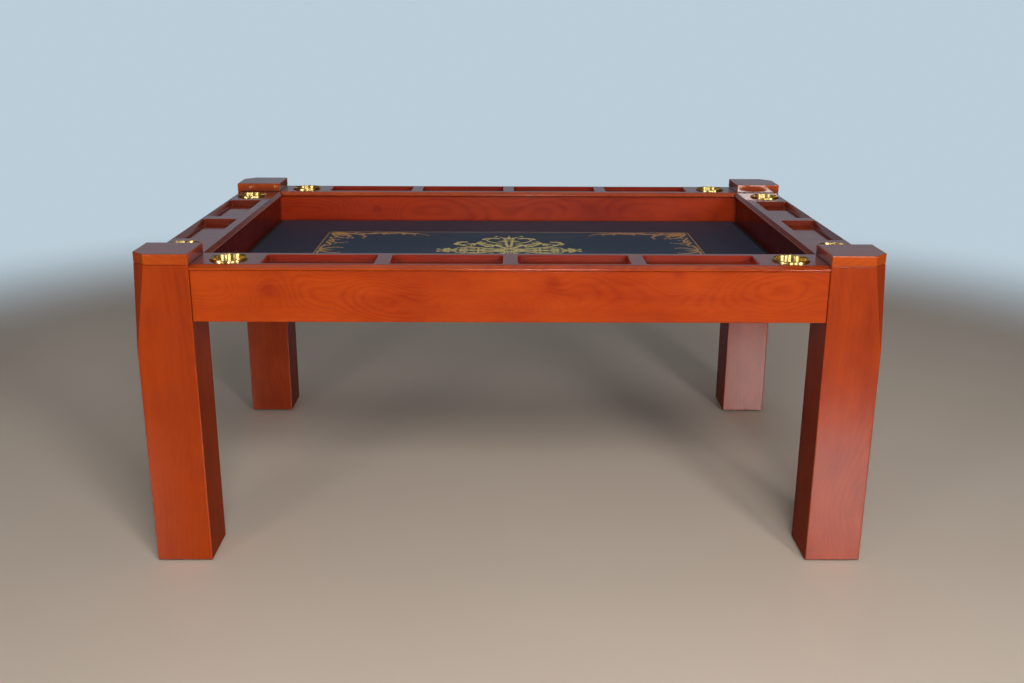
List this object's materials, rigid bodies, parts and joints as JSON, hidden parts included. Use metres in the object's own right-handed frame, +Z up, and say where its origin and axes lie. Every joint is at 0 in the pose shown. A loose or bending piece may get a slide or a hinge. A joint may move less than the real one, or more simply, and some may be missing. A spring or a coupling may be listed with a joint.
{
  "type": "gaming table",
  "caption": "Wooden gaming table with a sunken matted play area, square posts with clipped caps, routed accessory trays in the rails and drop-in brass cups.",
  "frame": {"origin": "centre of the table at floor level", "axes": "+X along the table's length, +Y from the front to the back, +Z up"},
  "size_m": [1.736, 1.192, 0.775],
  "materials": {
    "cherry_post": "gloss",
    "cherry_cap": "gloss",
    "cherry_rail": "gloss",
    "cherry_liner": "gloss",
    "core_wood": "satin",
    "plywood_black": "matte",
    "mat_rubber": "matte",
    "mat_cloth": "matte",
    "polished_brass": "polished",
    "zinc_steel": "satin",
    "foot_nylon": "matte"
  },
  "bodies": {
    "table": {"post_front_left": "cherry_post", "post_cap_front_left": "cherry_cap", "post_front_right": "cherry_post", "post_cap_front_right": "cherry_cap", "post_back_left": "cherry_post", "post_cap_back_left": "cherry_cap", "post_back_right": "cherry_post", "post_cap_back_right": "cherry_cap", "rail_top_front": "cherry_rail", "apron_front": "cherry_rail", "liner_front": "cherry_liner", "ledge_front": "core_wood", "rail_top_back": "cherry_rail", "apron_back": "cherry_rail", "liner_back": "cherry_liner", "ledge_back": "core_wood", "rail_top_left": "cherry_rail", "apron_left": "cherry_rail", "liner_left": "cherry_liner", "ledge_left": "core_wood", "rail_top_right": "cherry_rail", "apron_right": "cherry_rail", "liner_right": "cherry_liner", "ledge_right": "core_wood", "end_blocks_long_rails": "core_wood", "end_blocks_short_rails": "core_wood", "rail_spacer_blocks": "core_wood", "bearer_left": "core_wood", "bearer_middle": "core_wood", "bearer_right": "core_wood", "play_board": "plywood_black", "foot_inserts": "zinc_steel", "post_inserts": "zinc_steel", "rail_bolts": "zinc_steel", "rail_bolt_washers": "zinc_steel", "ledge_screws": "zinc_steel", "bearer_screws": "zinc_steel", "board_screws": "zinc_steel", "rail_dowels": "core_wood", "cap_dowels": "core_wood"},
    "play_mat": {"play_mat_base": "mat_rubber", "play_mat_cloth": "mat_cloth"},
    "cup_front_left": {"cup_front_left": "polished_brass"},
    "cup_front_right": {"cup_front_right": "polished_brass"},
    "cup_right_front": {"cup_right_front": "polished_brass"},
    "cup_right_back": {"cup_right_back": "polished_brass"},
    "cup_back_right": {"cup_back_right": "polished_brass"},
    "cup_back_left": {"cup_back_left": "polished_brass"},
    "cup_left_back": {"cup_left_back": "polished_brass"},
    "cup_left_front": {"cup_left_front": "polished_brass"},
    "foot_front_left": {"foot_pad_front_left": "foot_nylon", "foot_stem_front_left": "zinc_steel"},
    "foot_front_right": {"foot_pad_front_right": "foot_nylon", "foot_stem_front_right": "zinc_steel"},
    "foot_back_left": {"foot_pad_back_left": "foot_nylon", "foot_stem_back_left": "zinc_steel"},
    "foot_back_right": {"foot_pad_back_right": "foot_nylon", "foot_stem_back_right": "zinc_steel"}
  },
  "joints": [
    {"name": "lift_play_mat", "type": "slide", "parent": "table", "child": "play_mat", "axis": [0, 0, 1], "range_m": [0, 0.12]},
    {"name": "lift_cup_front_left", "type": "slide", "parent": "table", "child": "cup_front_left", "axis": [0, 0, 1], "range_m": [0, 0.075]},
    {"name": "lift_cup_front_right", "type": "slide", "parent": "table", "child": "cup_front_right", "axis": [0, 0, 1], "range_m": [0, 0.075]},
    {"name": "lift_cup_right_front", "type": "slide", "parent": "table", "child": "cup_right_front", "axis": [0, 0, 1], "range_m": [0, 0.075]},
    {"name": "lift_cup_right_back", "type": "slide", "parent": "table", "child": "cup_right_back", "axis": [0, 0, 1], "range_m": [0, 0.075]},
    {"name": "lift_cup_back_right", "type": "slide", "parent": "table", "child": "cup_back_right", "axis": [0, 0, 1], "range_m": [0, 0.075]},
    {"name": "lift_cup_back_left", "type": "slide", "parent": "table", "child": "cup_back_left", "axis": [0, 0, 1], "range_m": [0, 0.075]},
    {"name": "lift_cup_left_back", "type": "slide", "parent": "table", "child": "cup_left_back", "axis": [0, 0, 1], "range_m": [0, 0.075]},
    {"name": "lift_cup_left_front", "type": "slide", "parent": "table", "child": "cup_left_front", "axis": [0, 0, 1], "range_m": [0, 0.075]},
    {"name": "level_foot_front_left", "type": "slide", "parent": "table", "child": "foot_front_left", "axis": [0, 0, -1], "range_m": [0, 0.015]},
    {"name": "level_foot_front_right", "type": "slide", "parent": "table", "child": "foot_front_right", "axis": [0, 0, -1], "range_m": [0, 0.015]},
    {"name": "level_foot_back_left", "type": "slide", "parent": "table", "child": "foot_back_left", "axis": [0, 0, -1], "range_m": [0, 0.015]},
    {"name": "level_foot_back_right", "type": "slide", "parent": "table", "child": "foot_back_right", "axis": [0, 0, -1], "range_m": [0, 0.015]}
  ]
}
